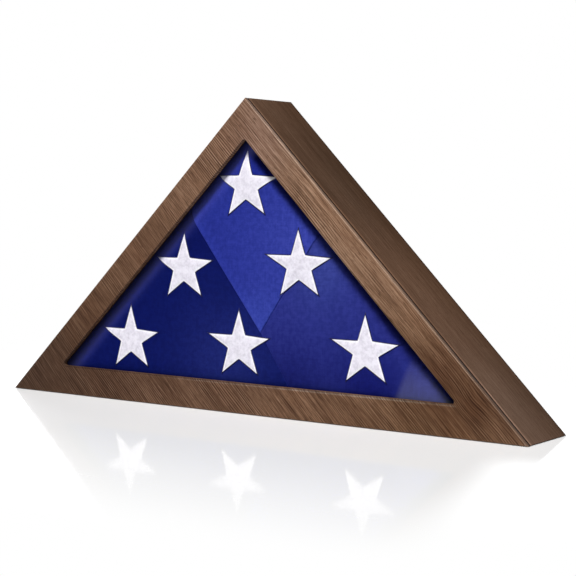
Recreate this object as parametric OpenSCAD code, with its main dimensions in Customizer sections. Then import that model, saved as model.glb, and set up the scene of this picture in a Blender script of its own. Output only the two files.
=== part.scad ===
// Display case for a folded flag. Three mitred boards make a triangular carcass that
// closes at the front with a one-piece panel and a pane, and at the back with a door
// that drops down on two butt hinges and shuts against magnets.
// X runs along the width, the front faces -Y and Z is up. The origin lies on the
// surface that the case stands on, at the middle of its width and of its depth.
// Outlines are drawn in X and Z. Both slopes lie at 45 degrees, as a folded flag does,
// so along any line parallel to a slope the sum of |x| and z stays the same.

/* [Case] */
// Overall width along the base
case_w = 650; // [620:1:700]
// Depth from the front face to the rear edge of the boards
case_d = 86; // [80:1:100]
// Thickness of the two sloping boards
board_t = 15; // [13:0.5:18]
// Thickness of the base board
base_t = 15; // [14:0.5:18]
// Easing of the outer edges at the front
front_ease = 0.8; // [0.4:0.1:1.5]
// Easing of the outer edges at the rear
rear_ease = 2; // [0.5:0.1:2.5]
// Easing on each side of the seam behind the front panel
seam_ease = 0.5; // [0.2:0.1:0.8]

/* [Front panel] */
// Thickness of the front panel
front_t = 5; // [4:0.5:8]
// Width of the border along the slopes
slope_border = 30; // [26:0.5:36]
// Width of the border along the base
base_border = 32; // [28:0.5:40]
// Radius of the corners of the window
window_r = 2.5; // [1:0.5:6]

/* [Glazing] */
// Thickness of the pane
pane_t = 2; // [1.5:0.5:3]
// Gap round the pane
pane_gap = 1; // [0.5:0.1:2]
// Height at which the sharp tips of the pane are cut off
pane_tip = 5; // [3:0.5:10]
// Width of the glazing beads, measured from the board they are pinned to
bead_w = 6; // [4:0.5:8]
// Depth of the glazing beads
bead_d = 8; // [6:0.5:10]
// Bevel of the beads
bead_ease = 2; // [1:0.5:3]
// Pins in each bead
bead_pin_count = 3; // [2:1:5]
// Diameter of the bead pins
bead_pin_dia = 1.2; // [1:0.1:1.6]
// Length that a bead pin has in the board
bead_pin_bite = 9; // [6:0.5:10]

/* [Folded flag] */
// Gap between the flag and what is round it
flag_gap = 0.3; // [0.2:0.1:1]
// Width of the flag's rounded shoulders, in from its edges
flag_shoulder = 34; // [25:1:45]
// Depth of the flag's edge band between the shoulders
flag_edge_d = 18; // [12:1:22]
// Radius of the flag's corners
flag_corner_r = 7; // [4:0.5:10]

/* [Rear door] */
// Thickness of the door
door_t = 3; // [2.5:0.5:4]
// Width of the rebate that the door lies in
rebate_w = 8; // [6:0.5:9]
// Gap between the edges of the door and the rebate
door_gap = 1; // [0.8:0.1:1.5]
// Gap between the door and the face it shuts against
door_seat = 0.3; // [0.2:0.1:0.5]
// Gap under the door, at the hinges
hinge_gap = 1.5; // [1.2:0.1:2]
// Radius of the finger notch
notch_r = 12; // [9:0.5:14]
// Thickness of the lining
lining_t = 1; // [0.8:0.1:1.5]
// Margin between the lining and the edge of the door opening
lining_margin = 1.5; // [1.2:0.1:3]

/* [Hinges] */
// Distance between the middles of the two hinges
hinge_spacing = 300; // [200:1:400]
// Length of a hinge
hinge_len = 40; // [30:1:60]
// Height of a leaf from the middle of the pin
leaf_h = 13; // [11:0.5:14]
// Thickness of a leaf
leaf_t = 1; // [0.8:0.1:1.2]
// Diameter of the hinge pin
hinge_pin_dia = 2; // [1.6:0.1:2.4]
// Running clearance round the hinge pin
pin_fit = 0.04; // [0.02:0.01:0.08]
// Knuckles on a hinge, an odd number
knuckles = 5; // [3:2:7]
// Gap between neighbouring knuckles
knuckle_gap = 0.2; // [0.1:0.05:0.4]
// Height of the heads of the hinge pin
pin_head_h = 0.6; // [0.4:0.1:1]
// Distance between the two screws of a leaf
leaf_screw_spacing = 24; // [16:1:26]
// Diameter of the hinge screws
hinge_screw_dia = 2.6; // [2:0.1:3]
// Length of the hinge screws
hinge_screw_len = 12; // [8:1:16]
// Diameter of the closed ends of the rivets that hold a leaf to the door
rivet_tail_dia = 4.4; // [3.5:0.1:5]
// Thickness of the closed ends of the rivets
rivet_tail_h = 0.6; // [0.4:0.1:0.8]

/* [Apex block and catch] */
// Depth of the block that is glued into the apex
block_d = 16; // [14:0.5:20]
// Height of the ledge that the top of the door shuts against
door_overlap = 16; // [15:0.5:20]
// Width of the finger relief in that ledge
relief_w = 36; // [28:1:44]
// Diameter of the catch magnets
magnet_dia = 10; // [8:0.5:11]
// Thickness of the catch magnets
magnet_t = 3; // [2:0.5:5]
// Distance between the two magnets
magnet_spacing = 68; // [60:1:76]
// Diameter of the strike discs
strike_dia = 12; // [9:0.5:13]
// Thickness of the strike discs
strike_t = 1; // [0.8:0.1:1.4]

/* [Keyhole hanger] */
// Width of the hanger plate
hanger_w = 16; // [14:0.5:20]
// Height of the hanger plate
hanger_h = 40; // [38:0.5:44]
// Thickness of the hanger plate
hanger_t = 1.5; // [1.2:0.1:2]
// Wood left between the hanger plate and the boards, and under the plate
hanger_margin = 1.5; // [1:0.5:3]
// Diameter of the hole that the head of a wall screw goes into
entry_dia = 9; // [8:0.1:10]
// Width of the slot above it
slot_w = 4.5; // [4:0.1:5]
// Distance from the middle of the hole to the top of the slot's run
slot_run = 11; // [9:0.5:12]
// Distance from the end of the plate to a screw
hanger_screw_in = 5; // [4.5:0.1:6]
// Diameter of the hanger screws
hanger_screw_dia = 3; // [2.5:0.1:3.2]
// Length of the hanger screws
hanger_screw_len = 12; // [8:0.5:13]
// Room round and behind the head of a wall screw
head_room = 1.2; // [0.8:0.1:1.5]
// Depth of the pocket for the head of a wall screw
head_pocket_d = 8; // [6:0.5:10]

/* [Brads and bumpers] */
// Diameter of the brads in the lower corners
brad_dia = 1.6; // [1.2:0.1:2]
// Length of the brads
brad_len = 26; // [20:1:28]
// Distance from the tip of the case to the brads
brad_in = 33; // [32:1:36]
// Distance between neighbouring brads
brad_pitch = 24; // [15:1:30]
// Depth that brads and pins are set below the surface
brad_set = 0.5; // [0.3:0.1:1]
// Clearance round screws, pins, magnets and other pieces that are let in
let_in_fit = 0.05; // [0.03:0.01:0.1]
// Diameter of the wall bumpers
bumper_dia = 8; // [7:0.5:10]
// Height of the wall bumpers
bumper_h = 5; // [4.8:0.1:7]
// Bevel of the wall bumpers
bumper_ease = 1; // [0.5:0.1:1.5]
// Distance from the tip of the case to the lower bumpers
bumper_in = 60; // [50:1:80]

/* [Hidden] */
$fn = 48;
flag_corner_steps = 8;                        // facets on each round corner of the flag
past = 1;                                     // how far a cut runs past a face
diag = sqrt(2);

// Sum of |x| and z on the line that lies inset mm inside the outer slope
function slope(inset) = case_w / 2 - inset * diag;

// Places from front to back
front_y = -(case_d + bumper_h) / 2;
carcass_y = front_y + front_t;
rear_y = front_y + case_d;
bead_y = carcass_y + pane_t;
door_y = rear_y - door_t;
ledge_y = door_y - door_seat;
block_y = rear_y - block_d;
flag_y0 = carcass_y + pane_t + flag_gap;
flag_y1 = block_y - flag_gap;
flag_edge_y0 = bead_y + bead_d + flag_gap;

// Inside of the carcass
inner = slope(board_t);

// Hinges
barrel_r = hinge_pin_dia / 2 + leaf_t;
pin_y = rear_y + barrel_r;
pin_z = base_t + hinge_gap / 2;
knuckle_w = hinge_len / knuckles;
leaf_cut = barrel_r + knuckle_gap;            // clearance cut round the other leaf's knuckles
leaf_screw_z = (leaf_h + leaf_cut) / 2;
rivet_grip = leaf_t + door_t;

// Hanger plate, from the apex down
hanger_end_r = hanger_w / 2;
hanger_top = inner - (hanger_end_r + hanger_margin) * diag + hanger_end_r;
hanger_bottom = hanger_top - hanger_h;
entry_z = hanger_bottom + hanger_screw_in + hanger_screw_dia / 2 + hanger_t + head_room
        + entry_dia / 2 + head_room;

// Apex block: full depth above block_z1, and a ledge for the door down to block_z0
block_z1 = hanger_bottom - hanger_margin;
block_z0 = block_z1 - door_overlap;
catch_z = (block_z0 + block_z1 - door_gap) / 2;

// Door. Its lower tips are cut off where its inner edge would rise into the slopes
// while it starts to turn.
door_z0 = base_t + hinge_gap;
door_z1 = block_z1 - door_gap;
door_slope = slope(board_t - rebate_w + door_gap);
swing_r = door_t + barrel_r;
free_rise = (door_gap - 0.1) * diag;
tip_rise = max((swing_r * swing_r - free_rise * free_rise) / (2 * free_rise),
               rebate_w * diag) + 2;
door_tip_x = door_slope - pin_z - tip_rise;
rebate_slope = slope(board_t - rebate_w);
rebate_tip_x = door_tip_x + door_gap;

// Solid between two places from front to back, with an outline drawn in X and Z
module slab(y0, y1) {
    translate([0, y1, 0]) rotate([90, 0, 0]) linear_extrude(y1 - y0) children();
}

// Outline bounded by two slopes and a level line
function triangle(inset, z0) =
    let (s = slope(inset)) [[-(s - z0), z0], [s - z0, z0], [0, s]];

// The same with its top cut off level
function trapezium(inset, z0, z1) =
    let (s = slope(inset)) [[-(s - z0), z0], [s - z0, z0], [s - z1, z1], [-(s - z1), z1]];

// Outline bounded by two slopes and a level line, with its lower tips cut off upright
function clipped(s, tip_x, z0, z1) =
    [[-tip_x, z0], [tip_x, z0], [tip_x, s - tip_x], [s - z1, z1], [-(s - z1), z1],
     [-tip_x, s - tip_x]];

// Square bar turned on edge, which takes a bevel of size c off the edge from p to q
module edge_cut(p, q, y, c) {
    run = q - p;
    angle = atan2(run[1], run[0]);
    translate([(p[0] + q[0]) / 2, y, (p[1] + q[1]) / 2])
        rotate([0, -angle, 0]) rotate([45, 0, 0])
            cube([norm(run) + 4 * c, c * diag, c * diag], center = true);
}

// Bevels along the outer edges of the case: 0 is the base, 1 and 2 the slopes
module outer_cut(y, c, edges = [0, 1, 2]) {
    corners = triangle(0, 0);
    for (i = edges) edge_cut(corners[i], corners[(i + 1) % 3], y, c);
}

// Countersunk screw that points in +Y, with its head's face at y = 0
module screw(dia, len, head_h, fit = 0) {
    rotate([-90, 0, 0]) {
        cylinder(h = head_h, r1 = dia / 2 + head_h + fit, r2 = dia / 2 + fit);
        cylinder(h = len, r = dia / 2 + fit);
    }
}

// ---- Carcass ----

// Pieces of the window: its clear opening, and the bevel round its front edge
module window_cut() {
    r = window_r;
    s = slope(slope_border + r);
    z0 = base_border + r;
    centres = [[-(s - z0), z0], [s - z0, z0], [0, s]];
    hull() for (c = centres)
        translate([c[0], carcass_y + past, c[1]])
            rotate([90, 0, 0]) cylinder(h = front_t + 2 * past, r = r);
    hull() for (c = centres)
        translate([c[0], front_y + front_ease, c[1]])
            rotate([90, 0, 0])
                cylinder(h = front_ease + past, r1 = r, r2 = r + front_ease + past);
}

module front_frame() {
    color([0.43, 0.31, 0.24])
    difference() {
        slab(front_y, carcass_y) polygon(triangle(0, 0));
        window_cut();
        outer_cut(front_y, front_ease);
        outer_cut(carcass_y, seam_ease);
    }
}

// Space that the door lies in, cut into the boards and the apex block
module rebate_cut() {
    slab(ledge_y, rear_y + past)
        polygon(clipped(rebate_slope, rebate_tip_x, base_t, block_z1));
}

// Right-hand board from its mitre with the base to its mitre at the apex
module slope_board() {
    difference() {
        slab(carcass_y, rear_y)
            polygon([[case_w / 2, 0], [0, case_w / 2], [0, inner], [inner - base_t, base_t]]);
        rebate_cut();
        outer_cut(carcass_y, seam_ease, [1]);
        outer_cut(rear_y, rear_ease, [1]);
        slope_bead_pins(let_in_fit);
        corner_brad_row(let_in_fit);
    }
}

module right_board() {
    color([0.36, 0.27, 0.21]) slope_board();
}

module left_board() {
    color([0.36, 0.27, 0.21]) mirror([1, 0, 0]) slope_board();
}

module base_board() {
    color([0.36, 0.27, 0.21])
    difference() {
        slab(carcass_y, rear_y)
            polygon([[-case_w / 2, 0], [case_w / 2, 0], [inner - base_t, base_t],
                     [-(inner - base_t), base_t]]);
        outer_cut(carcass_y, seam_ease, [0]);
        outer_cut(rear_y, rear_ease, [0]);
        base_bead_pins(let_in_fit);
        corner_brad_row(let_in_fit);
        mirror([1, 0, 0]) corner_brad_row(let_in_fit);
        case_screws(let_in_fit);
    }
}

// Brads up through the right-hand end of the base into the sloping board
module corner_brad_row(fit = 0) {
    mid_y = (carcass_y + rear_y) / 2;
    start_z = fit > 0 ? -past : brad_set;
    for (i = [-1 : 1])
        translate([case_w / 2 - brad_in, mid_y + i * brad_pitch, start_z])
            cylinder(h = brad_set + brad_len - start_z, r = brad_dia / 2 + fit);
}

module corner_brads() {
    color([0.6, 0.6, 0.62]) {
        corner_brad_row();
        mirror([1, 0, 0]) corner_brad_row();
    }
}

// ---- Glazing ----

module glass_pane() {
    s = slope(board_t) - pane_gap * diag;
    z0 = base_t + pane_gap;
    top = s - pane_tip;
    color([0.75, 0.82, 0.84, 0.35])
    slab(carcass_y, bead_y)
        polygon(clipped(s, s - z0 - pane_tip, z0, top));
}

// Right-hand bead, mitred to the base bead and at the apex
module slope_bead() {
    s = slope(board_t + bead_w);
    z0 = base_t + bead_w;
    difference() {
        slab(bead_y, bead_y + bead_d)
            polygon([[inner - base_t, base_t], [0, inner], [0, s], [s - z0, z0]]);
        edge_cut([s - z0, z0], [0, s], bead_y + bead_d, bead_ease);
        edge_cut([-(s - z0), z0], [s - z0, z0], bead_y + bead_d, bead_ease);
        slope_bead_pins(let_in_fit);
    }
}

module right_glazing_bead() {
    color([0.26, 0.19, 0.14]) slope_bead();
}

module left_glazing_bead() {
    color([0.26, 0.19, 0.14]) mirror([1, 0, 0]) slope_bead();
}

module base_glazing_bead() {
    s = slope(board_t + bead_w);
    z0 = base_t + bead_w;
    x0 = s - z0;
    color([0.26, 0.19, 0.14])
    difference() {
        slab(bead_y, bead_y + bead_d)
            polygon([[-(inner - base_t), base_t], [inner - base_t, base_t], [x0, z0],
                     [-x0, z0]]);
        edge_cut([-x0, z0], [x0, z0], bead_y + bead_d, bead_ease);
        edge_cut([x0, z0], [0, s], bead_y + bead_d, bead_ease);
        edge_cut([-x0, z0], [0, s], bead_y + bead_d, bead_ease);
        base_bead_pins(let_in_fit);
    }
}

// One pin that points down from the face of a bead at z = bead_w
module bead_pin(fit) {
    top = fit > 0 ? bead_w + past : bead_w - brad_set;
    translate([0, 0, -bead_pin_bite])
        cylinder(h = bead_pin_bite + top, r = bead_pin_dia / 2 + fit);
}

module base_bead_pins(fit = 0) {
    x0 = inner - base_t - bead_w;
    pitch = 2 * x0 / bead_pin_count;
    for (i = [0 : bead_pin_count - 1])
        translate([-x0 + (i + 0.5) * pitch, bead_y + bead_d / 2, base_t]) bead_pin(fit);
}

module slope_bead_pins(fit = 0) {
    run = inner - base_t;
    for (i = [0 : bead_pin_count - 1]) {
        x = run * (i + 0.5) / bead_pin_count;
        translate([x, bead_y + bead_d / 2, inner - x]) rotate([0, -135, 0]) bead_pin(fit);
    }
}

module bead_pins() {
    color([0.6, 0.6, 0.62]) {
        base_bead_pins();
        slope_bead_pins();
        mirror([1, 0, 0]) slope_bead_pins();
    }
}

// ---- Flag ----

// Outline of the flag with round corners, inset mm in from the space that it fills
function flag_outline(inset) =
    let (
        r = flag_corner_r,
        s = slope(board_t + flag_gap + inset + r),
        z0 = base_t + flag_gap + inset + r,
        centres = [[s - z0, z0], [0, s], [-(s - z0), z0]],
        starts = [-90, 45, 135],
        ends = [45, 135, 270]
    )
    [for (i = [0 : 2]) for (k = [0 : flag_corner_steps])
        let (a = starts[i] + (ends[i] - starts[i]) * k / flag_corner_steps)
            centres[i] + r * [cos(a), sin(a)]];

module folded_flag() {
    sections = [[flag_y0, flag_shoulder], [flag_edge_y0, bead_w],
                [flag_edge_y0 + bead_w, 0], [flag_edge_y0 + bead_w + flag_edge_d, 0],
                [flag_y1, flag_shoulder]];
    n = 3 * (flag_corner_steps + 1);
    last = len(sections) - 1;
    color([0.19, 0.22, 0.55])
    polyhedron(
        points = [for (c = sections) for (p = flag_outline(c[1])) [p[0], c[0], p[1]]],
        faces = concat(
            [[for (k = [n - 1 : -1 : 0]) k]],
            [for (j = [0 : last - 1]) for (k = [0 : n - 1])
                [j * n + k, j * n + (k + 1) % n, (j + 1) * n + (k + 1) % n, (j + 1) * n + k]],
            [[for (k = [0 : n - 1]) last * n + k]]));
}

// ---- Apex block, catch and hanger ----

// Places the children at both magnets
module at_catches() {
    for (side = [-1, 1]) translate([side * magnet_spacing / 2, 0, catch_z]) children();
}

// Rounded outline of the hanger plate, grown by fit
module hanger_outline(fit = 0) {
    r = hanger_end_r + fit;
    for (z = [hanger_bottom + hanger_end_r, hanger_top - hanger_end_r])
        translate([0, z]) circle(r);
    translate([-r, hanger_bottom + hanger_end_r]) square([2 * r, hanger_h - hanger_w]);
}

// Round hole with a slot that runs up from it
module keyhole_outline(hole_r, slot_r) {
    translate([0, entry_z]) circle(hole_r);
    translate([-slot_r, entry_z]) square([2 * slot_r, slot_run]);
    translate([0, entry_z + slot_run]) circle(slot_r);
}

module hanger_screw_pair(fit = 0) {
    for (z = [hanger_bottom + hanger_screw_in, hanger_top - hanger_screw_in])
        translate([0, rear_y, z]) mirror([0, 1, 0])
            screw(hanger_screw_dia, hanger_screw_len, hanger_t, fit);
}

module apex_block() {
    pocket_r = entry_dia / 2 + head_room;
    color([0.62, 0.48, 0.32])
    difference() {
        slab(block_y, rear_y) polygon(triangle(board_t, block_z0));
        rebate_cut();
        translate([-relief_w / 2, block_y - past, block_z0 - past])
            cube([relief_w, block_d + 2 * past, door_overlap + past]);
        at_catches() translate([0, ledge_y - magnet_t, 0]) rotate([-90, 0, 0])
            cylinder(h = magnet_t + past, r = magnet_dia / 2 + let_in_fit);
        slab(rear_y - hanger_t, rear_y + past) hanger_outline(let_in_fit);
        slab(rear_y - hanger_t - head_pocket_d, rear_y) keyhole_outline(pocket_r, pocket_r);
        hanger_screw_pair(let_in_fit);
    }
}

module catch_magnets() {
    color([0.75, 0.75, 0.77])
    at_catches() translate([0, ledge_y - magnet_t, 0]) rotate([-90, 0, 0])
        cylinder(h = magnet_t, r = magnet_dia / 2);
}

module keyhole_hanger() {
    color([0.7, 0.7, 0.72])
    difference() {
        slab(rear_y - hanger_t, rear_y) hanger_outline();
        slab(rear_y - hanger_t - past, rear_y + past)
            keyhole_outline(entry_dia / 2, slot_w / 2);
        hanger_screw_pair(let_in_fit);
    }
}

module hanger_screws() {
    color([0.72, 0.72, 0.74]) hanger_screw_pair();
}

// ---- Hinges ----

// Places the children at both hinges, with X along the pin
module at_hinges() {
    for (side = [-1, 1]) translate([side * hinge_spacing / 2, pin_y, pin_z]) children();
}

function knuckle_x(k) = (k + 0.5) * knuckle_w - hinge_len / 2;

// Leaf that hangs from its knuckles, which are every second one from the first given
module hinge_leaf(first) {
    difference() {
        union() {
            difference() {
                translate([-hinge_len / 2, -barrel_r, -leaf_h])
                    cube([hinge_len, leaf_t, leaf_h]);
                for (k = [1 - first : 2 : knuckles - 1])
                    translate([knuckle_x(k) - knuckle_w / 2 - knuckle_gap / 2,
                               -barrel_r - past, -leaf_cut])
                        cube([knuckle_w + knuckle_gap, leaf_t + 2 * past, leaf_cut + past]);
            }
            for (k = [first : 2 : knuckles - 1])
                translate([knuckle_x(k), 0, 0]) rotate([0, 90, 0])
                    cylinder(h = knuckle_w - knuckle_gap, r = barrel_r, center = true);
        }
        rotate([0, 90, 0])
            cylinder(h = hinge_len + 2 * past, r = hinge_pin_dia / 2 + pin_fit, center = true);
        leaf_screws(let_in_fit);
    }
}

// Countersunk screws of one leaf, driven towards the front
module leaf_screws(fit = 0) {
    for (side = [-1, 1])
        translate([side * leaf_screw_spacing / 2, leaf_t - barrel_r, -leaf_screw_z])
            mirror([0, 1, 0]) screw(hinge_screw_dia, hinge_screw_len, leaf_t, fit);
}

module case_screws(fit = 0) {
    at_hinges() leaf_screws(fit);
}

module case_leaf(side) {
    color([0.78, 0.62, 0.28])
    translate([side * hinge_spacing / 2, pin_y, pin_z]) hinge_leaf(0);
}

module door_leaf(side) {
    color([0.78, 0.62, 0.28])
    translate([side * hinge_spacing / 2, pin_y, pin_z]) mirror([0, 0, 1]) hinge_leaf(1);
}

module hinge_pin(side) {
    head_r = (hinge_pin_dia / 2 + barrel_r) / 2;
    color([0.72, 0.57, 0.26])
    translate([side * hinge_spacing / 2, pin_y, pin_z]) rotate([0, 90, 0]) {
        cylinder(h = hinge_len, r = hinge_pin_dia / 2, center = true);
        for (end = [-1, 1])
            translate([0, 0, end * (hinge_len + pin_head_h) / 2])
                cylinder(h = pin_head_h, r = head_r, center = true);
    }
}

module left_hinge_case_leaf() { case_leaf(-1); }
module right_hinge_case_leaf() { case_leaf(1); }
module left_hinge_door_leaf() { door_leaf(-1); }
module right_hinge_door_leaf() { door_leaf(1); }
module left_hinge_pin() { hinge_pin(-1); }
module right_hinge_pin() { hinge_pin(1); }

module hinge_case_screws() {
    color([0.8, 0.66, 0.34]) case_screws();
}

// Shanks of the rivets through the door leaves and the door
module rivet_shanks(fit = 0) {
    at_hinges() for (side = [-1, 1])
        translate([side * leaf_screw_spacing / 2, leaf_t - barrel_r, leaf_screw_z])
            mirror([0, 1, 0]) screw(hinge_screw_dia, rivet_grip, leaf_t, fit);
}

module hinge_door_rivets() {
    color([0.8, 0.66, 0.34]) {
        rivet_shanks();
        at_hinges() for (side = [-1, 1])
            translate([side * leaf_screw_spacing / 2, door_y - pin_y, leaf_screw_z])
                rotate([90, 0, 0]) cylinder(h = rivet_tail_h, r = rivet_tail_dia / 2);
    }
}

// ---- Door ----

module back_door() {
    color([0.24, 0.17, 0.12])
    difference() {
        slab(door_y, rear_y) polygon(clipped(door_slope, door_tip_x, door_z0, door_z1));
        slab(door_y - past, rear_y + past) translate([0, door_z1]) circle(notch_r);
        at_catches() translate([0, door_y - past, 0]) rotate([-90, 0, 0])
            cylinder(h = strike_t + past, r = strike_dia / 2 + let_in_fit);
        rivet_shanks(let_in_fit);
    }
}

module door_strikes() {
    color([0.7, 0.7, 0.72])
    at_catches() translate([0, door_y, 0]) rotate([-90, 0, 0])
        cylinder(h = strike_t, r = strike_dia / 2);
}

module door_lining() {
    z0 = pin_z + leaf_h + lining_margin;
    z1 = block_z0 - lining_margin;
    color([0.07, 0.07, 0.08])
    slab(door_y - lining_t, door_y) polygon(trapezium(board_t + lining_margin, z0, z1));
}

// ---- Bumpers ----

module bumper() {
    rotate([-90, 0, 0]) {
        cylinder(h = bumper_h - bumper_ease, r = bumper_dia / 2);
        translate([0, 0, bumper_h - bumper_ease])
            cylinder(h = bumper_ease, r1 = bumper_dia / 2, r2 = bumper_dia / 2 - bumper_ease);
    }
}

module wall_bumpers() {
    top_x = hanger_end_r + bumper_dia;
    top_z = block_z1 + bumper_dia / 2 + hanger_margin;
    color([0.1, 0.1, 0.1])
    for (side = [-1, 1]) {
        translate([side * (case_w / 2 - bumper_in), rear_y, base_t / 2]) bumper();
        translate([side * top_x, rear_y, top_z]) bumper();
    }
}

front_frame();
left_board();
right_board();
base_board();
corner_brads();
glass_pane();
left_glazing_bead();
right_glazing_bead();
base_glazing_bead();
bead_pins();
folded_flag();
apex_block();
catch_magnets();
keyhole_hanger();
hanger_screws();
wall_bumpers();
left_hinge_case_leaf();
right_hinge_case_leaf();
left_hinge_pin();
right_hinge_pin();
hinge_case_screws();
left_hinge_door_leaf();
right_hinge_door_leaf();
hinge_door_rivets();
back_door();
door_lining();
door_strikes();
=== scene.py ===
"""Display case for a folded flag, dressed round its packed solids.

The case has a veneered front panel, veneered boards, a pane, glazing beads and a lined
rear door on two butt hinges. The flag is a cotton bundle whose outer folds and
embroidered stars show through the pane. Lengths in the code are metres unless a name
ends in _MM. A place in the face is an x and a z.
"""

import math
from functools import partialmethod

import bmesh
import bpy
from bpy.props import FloatProperty, FloatVectorProperty, IntProperty, PointerProperty
from mathutils import Matrix, Vector, noise
from mathutils.bvhtree import BVHTree


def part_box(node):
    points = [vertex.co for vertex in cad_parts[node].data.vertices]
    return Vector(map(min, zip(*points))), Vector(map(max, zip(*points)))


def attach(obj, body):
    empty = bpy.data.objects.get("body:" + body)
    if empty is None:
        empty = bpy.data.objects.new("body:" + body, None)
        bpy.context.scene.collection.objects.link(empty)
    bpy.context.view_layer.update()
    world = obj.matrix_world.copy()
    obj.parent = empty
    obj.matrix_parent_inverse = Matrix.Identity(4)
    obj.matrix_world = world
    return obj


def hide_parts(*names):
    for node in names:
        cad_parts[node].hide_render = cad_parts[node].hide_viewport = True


bl_info = {
    "name": "Folded flag display case",
    "version": (1, 0, 0),
    "blender": (4, 5, 0),
    "location": "3D View > Sidebar > Flag Case",
    "description": "Builds a triangular display case with a folded flag",
    "category": "Object",
}

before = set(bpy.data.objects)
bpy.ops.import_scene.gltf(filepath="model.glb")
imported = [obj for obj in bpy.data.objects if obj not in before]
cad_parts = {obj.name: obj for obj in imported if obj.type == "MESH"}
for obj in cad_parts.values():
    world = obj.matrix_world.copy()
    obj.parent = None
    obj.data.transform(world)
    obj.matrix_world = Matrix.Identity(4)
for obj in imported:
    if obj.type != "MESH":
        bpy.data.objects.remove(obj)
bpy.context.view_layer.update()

MM = 0.001
DIAG = math.sqrt(2)
PANEL_LOW, PANEL_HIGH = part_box("front_frame")
PANE_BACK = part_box("glass_pane")[1].y
FLAG_LOW, FLAG_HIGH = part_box("folded_flag")
REAR_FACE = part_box("back_door")[1].y
SEAM_Y = PANEL_HIGH.y  # the front panel's back, which lies on the boards
# Height of the base board's inner face and of the window's lower edge, and the sum of |x|
# and z on the sloping boards' inner faces and on the window's sloping edges
INNER_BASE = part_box("base_glazing_bead")[0].z
INNER_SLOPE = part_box("apex_block")[1].z
WINDOW_BASE = 32 * MM
WINDOW_SLOPE = 280 * MM
DOWN_RIGHT = (1 / DIAG, 0, -1 / DIAG)
DOWN_LEFT = (-1 / DIAG, 0, -1 / DIAG)
UP_RIGHT = (1 / DIAG, 0, 1 / DIAG)
UP_LEFT = (-1 / DIAG, 0, 1 / DIAG)
LEVEL = (1, 0, 0)
DEEP = (0, 1, 0)
UPRIGHT = (0, 0, 1)
# Sides of the case, with the way along each and the way across it in the face
SIDES = (
    ("right", DOWN_RIGHT, UP_RIGHT),
    ("left", DOWN_LEFT, UP_LEFT),
    ("base", LEVEL, UPRIGHT),
)


def tone(red, green, blue):
    """Linear colour for a colour given as it is seen, 0 to 255."""
    return tuple(
        c / 12.92 if c <= 0.04045 else ((c + 0.055) / 1.055) ** 2.4
        for c in (red / 255, green / 255, blue / 255)
    )


def left_of(point, way, x, z):
    """Distance of a place in the face to the left of a line, for numbers or Values."""
    return (x - point[0]) * -way[1] + (z - point[1]) * way[0]


def from_slope(side, x, z):
    """Distance of a place in the face from the right (1) or the left (-1) sloping board."""
    return (INNER_SLOPE - x * side - z) / DIAG


# ---- Sizes and colours that a user would change ----


def colour(name, description, value):
    return FloatVectorProperty(
        name=name, description=description, subtype="COLOR", size=3, min=0, max=1,
        default=value,
    )


def length(name, description, value):
    return FloatProperty(
        name=name, description=description, subtype="DISTANCE", unit="LENGTH", min=0,
        default=value,
    )


def number(name, description, value, **settings):
    return FloatProperty(name=name, description=description, default=value, **settings)


class FlagCaseWood(bpy.types.PropertyGroup):
    """Veneer, boards and door."""

    veneer_dark: colour("Veneer, dark", "Dark streaks of the front veneer", tone(58, 38, 27))
    veneer_mid: colour("Veneer, middle", "Ground of the front veneer", tone(105, 77, 58))
    veneer_light: colour("Veneer, light", "Pale streaks of the front veneer", tone(142, 112, 90))
    side_dark: colour("Boards, dark", "Dark streaks of the boards", tone(54, 37, 27))
    side_mid: colour("Boards, middle", "Ground of the boards", tone(86, 64, 50))
    side_light: colour("Boards, light", "Pale streaks of the boards", tone(112, 88, 72))
    easing: length("Easing", "Rounding of the front's arrises", 0.4 * MM)
    rear_easing: length("Rear easing", "Rounding of the boards' rear chamfer", 0.8 * MM)


class FlagCaseFlag(bpy.types.PropertyGroup):
    """Folded flag and its stars."""

    # The three blues are lit and shaded copies of one cloth: the flap's blue is painted sheen, the
    # left fold's painted shade
    flap_cloth: colour("Flap", "Blue of the outer flap", tone(37, 47, 134))
    left_cloth: colour("Left fold", "Blue of the left fold", tone(11, 20, 84))
    right_cloth: colour("Right fold", "Blue of the right fold", tone(42, 48, 124))
    star_thread: colour("Star thread", "White of the embroidery", tone(240, 238, 245))
    star_size: number(
        "Star size", "Size of the stars, 1 for that of the tips' table", 1.0, min=0.2, max=2.0
    )
    # The dark hem round each star is painted shadow
    star_shadow_hem: length("Star hem", "Width of the dark stitching round a star", 1.0 * MM)
    star_waist: number(
        "Star waist", "Inner corners' share of a star's radius", 0.375, min=0.2, max=0.8
    )
    layer: length("Layer", "Thickness of one folded layer", 1.0 * MM)
    pressure: number("Pressure", "Pressure that fills the bundle", 3.0, min=0)
    frames: IntProperty(name="Frames", description="Steps of the filling", default=18, min=2)


class FlagCaseStage(bpy.types.PropertyGroup):
    """Camera, lamps and floor."""

    azimuth: number("Azimuth", "Camera's turn round the case, in degrees", 34.578)
    elevation: number("Elevation", "Camera's height over the horizon, in degrees", 3.605)
    roll: number("Roll", "Camera's lean, in degrees", 0.723)
    distance: length("Distance", "From the camera to its target", 1.58282)
    lens: number("Lens", "Focal length in mm", 95.03)
    target: FloatVectorProperty(
        name="Target", description="Point that the camera looks at", subtype="XYZ",
        unit="LENGTH", default=(0.027125, -0.0025, 0.12976),
    )
    ambient: number("Ambient", "Strength of the light from all round", 0.14)
    key_power: number("Key lamp", "Power of the key lamp", 170, unit="POWER")
    back_power: number("Back lamp", "Power of the back lamp", 60, unit="POWER")


# ---- Materials ----


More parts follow.
